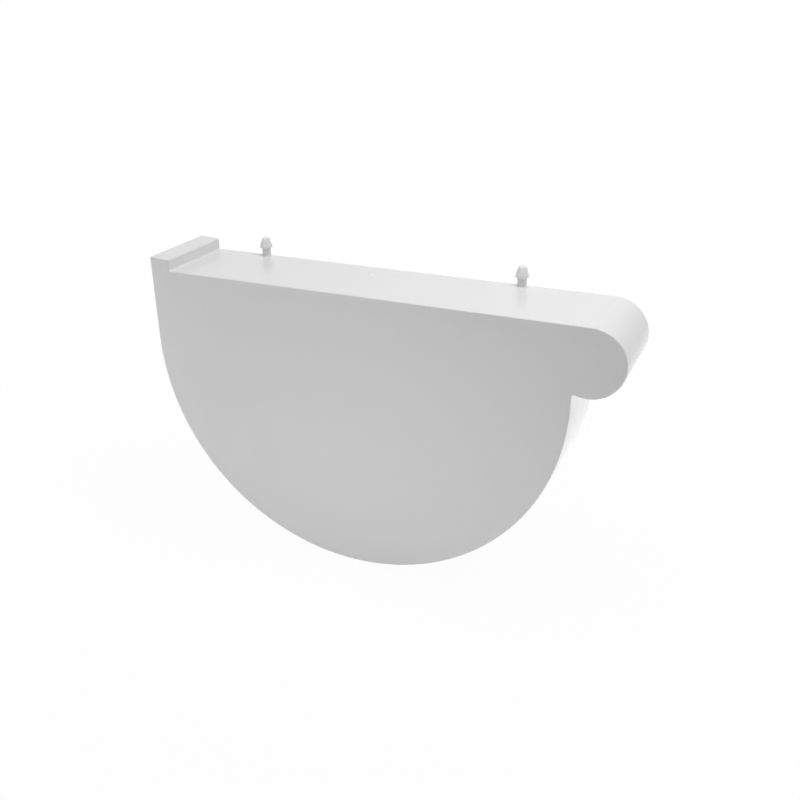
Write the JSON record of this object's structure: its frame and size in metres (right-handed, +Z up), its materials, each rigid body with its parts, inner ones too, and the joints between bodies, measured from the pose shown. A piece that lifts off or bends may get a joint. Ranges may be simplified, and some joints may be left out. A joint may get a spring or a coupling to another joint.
{
  "type": "gutter end cap",
  "caption": "Moulded white plastic end cap for a half-round roof gutter: flat half-round plate, skirt with a rolled-bead lobe and raised rear lip, flat top with small barbed pegs.",
  "frame": {"origin": "on the gutter's axis, at the inner face of the front plate, where the end of the gutter butts", "axes": "+X towards the bead lobe, across the gutter; +Y back from the plate along the gutter, out of the cap's open side; +Z up"},
  "size_m": [0.147, 0.0272, 0.0942],
  "materials": {
    "white_plastic": "gloss"
  },
  "bodies": {
    "root": {"end_cap": "white_plastic"}
  },
  "joints": []
}
